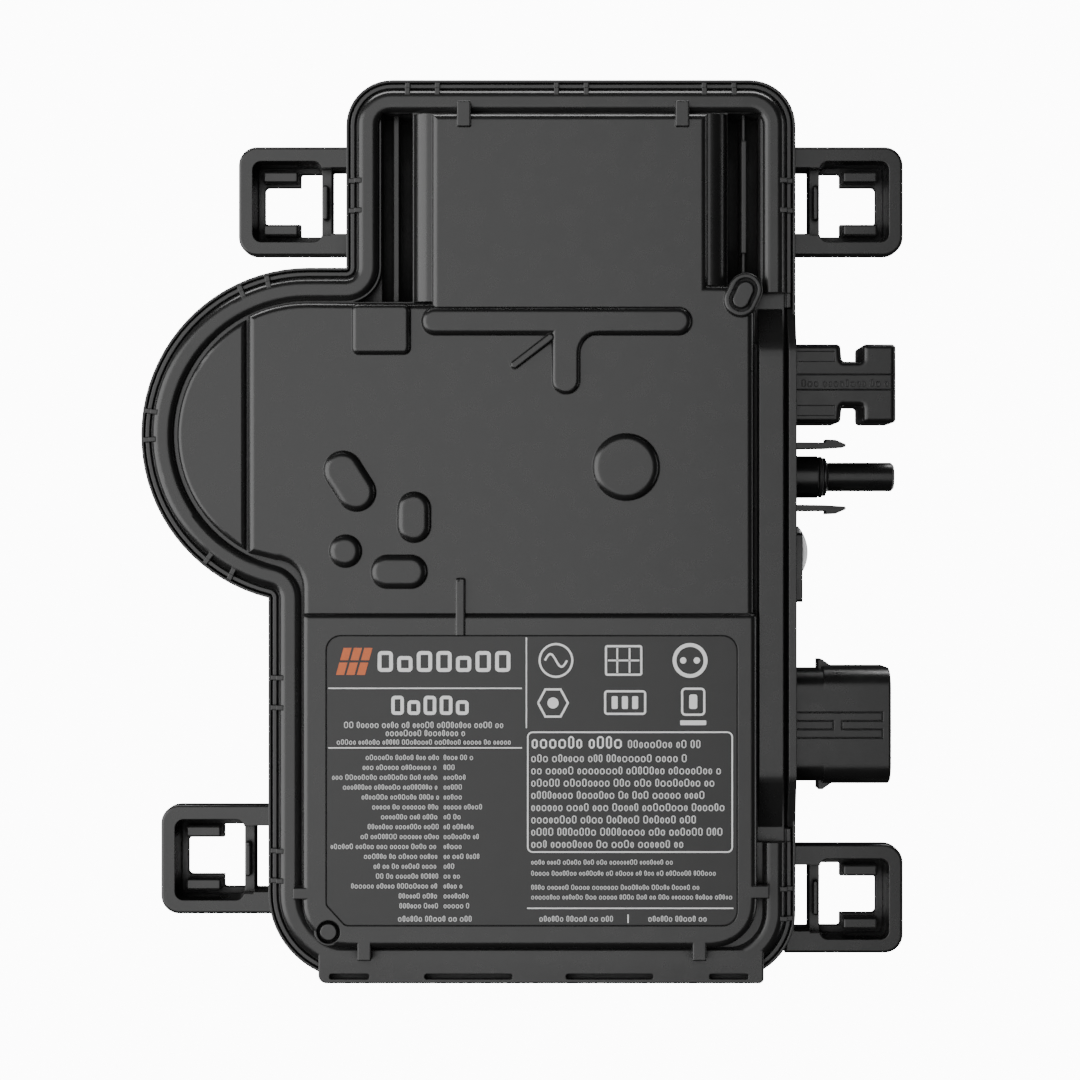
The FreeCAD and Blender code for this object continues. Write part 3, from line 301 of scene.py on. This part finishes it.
class Print:
    """Thin closed plates on a face that looks forward, drawn in millimetres of x and z."""

    def __init__(self, face, rise, base=0.0, plane=LIP_PLANE):
        """The face's y, and how far in front of it and behind it the plates reach."""
        self.back = face + base * MM
        self.front = face - rise * MM
        self.mesh = bmesh.new()
        self.shrink = (DISTANCE + face - plane) / DISTANCE

    def point(self, x, y, z):
        """Draws the layout in towards the middle when it was measured on a plane behind the face."""
        return (AIM.x + (x * MM - AIM.x) * self.shrink, y, AIM.z + (z * MM - AIM.z) * self.shrink)

    def solid(self, outer, inner=None):
        """A plate with this outline, or a ring between two outlines of as many points."""
        loops = [outer] if inner is None else [outer, inner]
        made = []
        for loop in loops:
            made.append([[self.mesh.verts.new(self.point(x, y, z)) for x, z in loop]
                         for y in (self.back, self.front)])
        count = len(outer)
        for which, (back, front) in enumerate(made):
            for i in range(count):
                j = (i + 1) % count
                wall = (back[i], back[j], front[j], front[i])
                self.mesh.faces.new(wall if which == 0 else wall[::-1])
        if inner is None:
            back, front = made[0]
            self.mesh.faces.new(front)
            self.mesh.faces.new(back[::-1])
            return
        (back, front), (inner_back, inner_front) = made
        for i in range(count):
            j = (i + 1) % count
            self.mesh.faces.new((front[i], front[j], inner_front[j], inner_front[i]))
            self.mesh.faces.new((back[j], back[i], inner_back[i], inner_back[j]))

    def bar(self, left, bottom, right, top, radius=0.0):
        self.solid(round_box(left, bottom, right, top, radius))

    def frame(self, left, bottom, right, top, radius, line, steps=4):
        self.solid(round_box(left, bottom, right, top, radius, steps),
                   round_box(left + line, bottom + line, right - line, top - line, radius - line, steps))

    def disc(self, centre, radius):
        self.solid(circle(centre, radius))

    def ring(self, centre, radius, line):
        self.solid(circle(centre, radius), circle(centre, radius - line))

    def stroke(self, points, line):
        """A mitred line through the points."""
        left = []
        right = []
        for i, here in enumerate(points):
            before = Vector(points[max(i - 1, 0)])
            after = Vector(points[min(i + 1, len(points) - 1)])
            first = (Vector(here) - before) if i else (after - Vector(here))
            second = (after - Vector(here)) if i < len(points) - 1 else first
            first.normalize()
            second.normalize()
            along = (first + second).normalized()
            side = Vector((-along.y, along.x)) * (line / 2) / max(along.dot(first), 0.4)
            left.append(tuple(Vector(here) + side))
            right.append(tuple(Vector(here) - side))
        self.solid(right + left[::-1])

    def finish(self, name, material):
        bmesh.ops.recalc_face_normals(self.mesh, faces=self.mesh.faces)
        mesh = bpy.data.meshes.new(name)
        self.mesh.to_mesh(mesh)
        self.mesh.free()
        mesh.materials.append(material)
        piece = bpy.data.objects.new(name, mesh)
        bpy.context.scene.collection.objects.link(piece)
        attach(piece, "case")


def circle(centre, radius, count=32):
    return [(centre[0] + radius * math.cos(2 * math.pi * i / count),
             centre[1] + radius * math.sin(2 * math.pi * i / count)) for i in range(count)]


def round_box(left, bottom, right, top, radius, steps=4):
    if radius <= 0:
        return [(left, bottom), (right, bottom), (right, top), (left, top)]
    points = []
    for x, z, start in ((right - radius, bottom + radius, -90), (right - radius, top - radius, 0),
                        (left + radius, top - radius, 90), (left + radius, bottom + radius, 180)):
        for step in range(steps + 1):
            angle = math.radians(start + 90 * step / steps)
            points.append((x + radius * math.cos(angle), z + radius * math.sin(angle)))
    return points


LOW_MARK = 0.76          # height of a low mark to a high one


def words(sheet, left, right, base, tall, seed):
    """A line of small open marks of uneven size between two ends, in groups like words."""
    chance = random.Random(seed)
    pitch = tall * 0.80
    line = tall * 0.15
    x = left
    left_in_word = chance.randint(2, 8)
    while x + pitch * 0.55 < right:
        width = min(pitch * chance.uniform(0.55, 0.80), right - x)
        top = tall if chance.random() < 0.35 else tall * LOW_MARK
        sheet.frame(x, base, x + width, base + top, max(width * 0.3, line + 0.04), line, 1)
        x += width + pitch * 0.22
        left_in_word -= 1
        if left_in_word == 0:
            x += pitch * 0.45
            left_in_word = chance.randint(2, 8)


def heading(sheet, left, right, base, tall, count):
    """A row of equal open blocks where a name would stand."""
    pitch = (right - left) / count
    width = pitch * 0.78
    for i in range(count):
        high = tall if i % 3 != 1 else tall * LOW_MARK
        start = left + i * pitch
        sheet.frame(start, base, start + width, base + high, tall * 0.19, tall * 0.18)


# ---------------------------------------------------------------- the label's signs

SIGN_LINE = 0.5
SIGN_COLUMNS = (8.1, 24.0, 39.6)


def wave_sign(sheet, x, z):
    sheet.ring((x, z), 4.1, SIGN_LINE)
    wave = [(x - 2.6 + 0.26 * i, z + 1.5 * math.sin(i * math.pi / 10)) for i in range(21)]
    sheet.stroke(wave, SIGN_LINE)


def panel_sign(sheet, x, z):
    sheet.frame(x - 4.4, z - 3.6, x + 4.4, z + 3.6, 0.6, SIGN_LINE)
    for bar in (x - 1.7, x + 1.2):
        sheet.bar(bar, z - 2.9, bar + 0.4, z + 2.9)
    sheet.bar(x - 3.7, z - 0.2, x + 3.7, z + 0.2)


def socket_sign(sheet, x, z):
    sheet.ring((x, z), 4.1, 0.9)
    for side in (-1.6, 1.6):
        sheet.disc((x + side, z), 0.75)


def nut_sign(sheet, x, z):
    sheet.stroke([(x - 3.5, z), (x - 1.8, z - 3.2), (x + 1.8, z - 3.2), (x + 3.5, z), (x + 1.8, z + 3.2),
                  (x - 1.8, z + 3.2), (x - 3.5, z)], SIGN_LINE)
    sheet.disc((x, z), 1.3)


def battery_sign(sheet, x, z):
    sheet.frame(x - 4.95, z - 2.9, x + 4.95, z + 2.9, 0.8, SIGN_LINE)
    for cell in range(3):
        left = x - 3.15 + cell * 2.4
        sheet.bar(left, z - 1.5, left + 1.4, z + 1.5, 0.3)


def switch_sign(sheet, x, z):
    sheet.frame(x - 2.85, z - 3.3, x + 2.85, z + 3.3, 1.0, SIGN_LINE)
    sheet.bar(x - 0.95, z - 1.7, x + 0.95, z + 1.7, 0.5)
    sheet.bar(x - 3.05, z - 5.5, x + 3.05, z - 4.4, 0.2)


def signs(sheet):
    """Six plain signs in two rows."""
    wave_sign(sheet, SIGN_COLUMNS[0], 75.6)
    panel_sign(sheet, SIGN_COLUMNS[1], 75.6)
    socket_sign(sheet, SIGN_COLUMNS[2], 75.6)
    nut_sign(sheet, SIGN_COLUMNS[0] - 0.7, 65.6)
    battery_sign(sheet, SIGN_COLUMNS[1] + 0.35, 65.7)
    switch_sign(sheet, SIGN_COLUMNS[2] + 0.75, 65.9)


def emblem(sheet):
    """Six leaning cells, like a small solar panel."""
    low, cell, gap, lean = (-43.0, 72.2), (1.9, 2.9), 0.55, 0.28
    for column in range(3):
        for row in range(2):
            x = low[0] + column * (cell[0] + gap)
            z = low[1] + row * (cell[1] + gap)
            corners = [(x, z), (x + cell[0], z), (x + cell[0], z + cell[1]), (x, z + cell[1])]
            sheet.solid([(u + (v - low[1]) * lean - 0.6, v) for u, v in corners])


# ---------------------------------------------------------------- the label's print

LABEL_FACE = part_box("label_plate")[0][1]
INK_RISE = 0.03
RULE = 0.3                                   # width of the lines that part the fields

TABLE_EDGE = -19.4                           # where the table's names end
TABLE_TOP = 52.2
TABLE_STEP = 2.325
TABLE_TALL = 1.25
TABLE_NAMES = (21.5, 22.4, 31.4, 28.2, 22.7, 19.6, 17.0, 20.9,
               23.0, 31.8, 22.0, 19.2, 18.5, 25.8, 11.8, 11.6)
TABLE_VALUES = (4.5, 3.2, 7.5, 6.0, 9.0)     # lengths that the values are drawn from

NOTICE_LEFT = 2.3
NOTICE_TOP = 51.7
NOTICE_STEP = 2.88
NOTICE_ENDS = (39.5, 47.4, 45.3, 43.8, 48.6, 42.0, 48.3, 38.0)

SINGLE_LINES = (                             # left end, right end, base and height
    (-41.7, -3.6, 59.7, 1.5), (-31.9, -13.1, 57.8, 1.5), (-43.4, -1.9, 55.8, 1.25),
    (-29.0, -10.9, 14.2, 1.4), (25.0, 42.2, 55.0, 1.9),
    (2.3, 36.6, 27.6, 1.2), (2.3, 45.9, 25.0, 1.2), (2.3, 42.0, 21.7, 1.2), (2.3, 49.6, 19.4, 1.2),
    (4.2, 22.3, 14.2, 1.4), (29.8, 43.5, 14.2, 1.4))


def rules(sheet):
    """The straight lines between the label's fields."""
    for left, right, z in ((-45.4, 0.1, 68.9), (-45.4, 0.1, 54.9), (1.3, 49.8, 17.2)):
        sheet.bar(left, z, right, z + RULE)
    for x, low, high in ((1.0, 59.7, 81.0), (24.9, 13.9, 15.9)):
        sheet.bar(x, low, x + RULE, high)


def notice_frame(sheet):
    sheet.frame(1.3, 30.4, 49.7, 58.9, 1.3, 0.35)


def notice_lines(sheet):
    for row, right in enumerate(NOTICE_ENDS):
        words(sheet, NOTICE_LEFT, right, NOTICE_TOP - row * NOTICE_STEP, 1.85, 90 + row)


def table_rows(sheet):
    """Names that end at a common edge and values that start beside it."""
    chance = random.Random(7)
    for row, width in enumerate(TABLE_NAMES):
        base = TABLE_TOP - row * TABLE_STEP
        words(sheet, TABLE_EDGE - width * 0.80, TABLE_EDGE, base, TABLE_TALL, row + 20)
        words(sheet, TABLE_EDGE + 1.1, TABLE_EDGE + 1.1 + chance.choice(TABLE_VALUES), base,
              TABLE_TALL, row + 60)


def bold_print():
    sheet = Print(LABEL_FACE, INK_RISE)
    heading(sheet, -33.8, -1.6, 72.9, 4.9, 7)
    heading(sheet, -30.6, -11.6, 62.8, 4.5, 5)
    signs(sheet)
    notice_frame(sheet)
    rules(sheet)
    words(sheet, 2.4, 23.6, 54.9, 2.9, 5)
    sheet.finish("label_bold_print", WHITE_INK)


def small_print():
    sheet = Print(LABEL_FACE, INK_RISE)
    for left, right, base, tall in SINGLE_LINES:
        words(sheet, left, right, base, tall, int(base * 10))
    notice_lines(sheet)
    table_rows(sheet)
    sheet.finish("label_small_print", SMALL_INK)


def emblem_print():
    sheet = Print(LABEL_FACE, INK_RISE)
    emblem(sheet)
    sheet.finish("label_emblem", ORANGE_INK)


# ---------------------------------------------------------------- the upper connector's marks

def plug_marks():
    """A row of low raised marks along the front of the upper connector."""
    low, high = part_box("dc_plug_housing")
    middle = (low[2] + high[2]) / 2 / MM
    sheet = Print(low[1], 0.18, 0.05, low[1])
    words(sheet, 66.2, 86.8, middle - 0.9, 1.9, 3)
    sheet.finish("plug_marks", MATERIALS["connector_black"])


bold_print()
small_print()
emblem_print()
plug_marks()
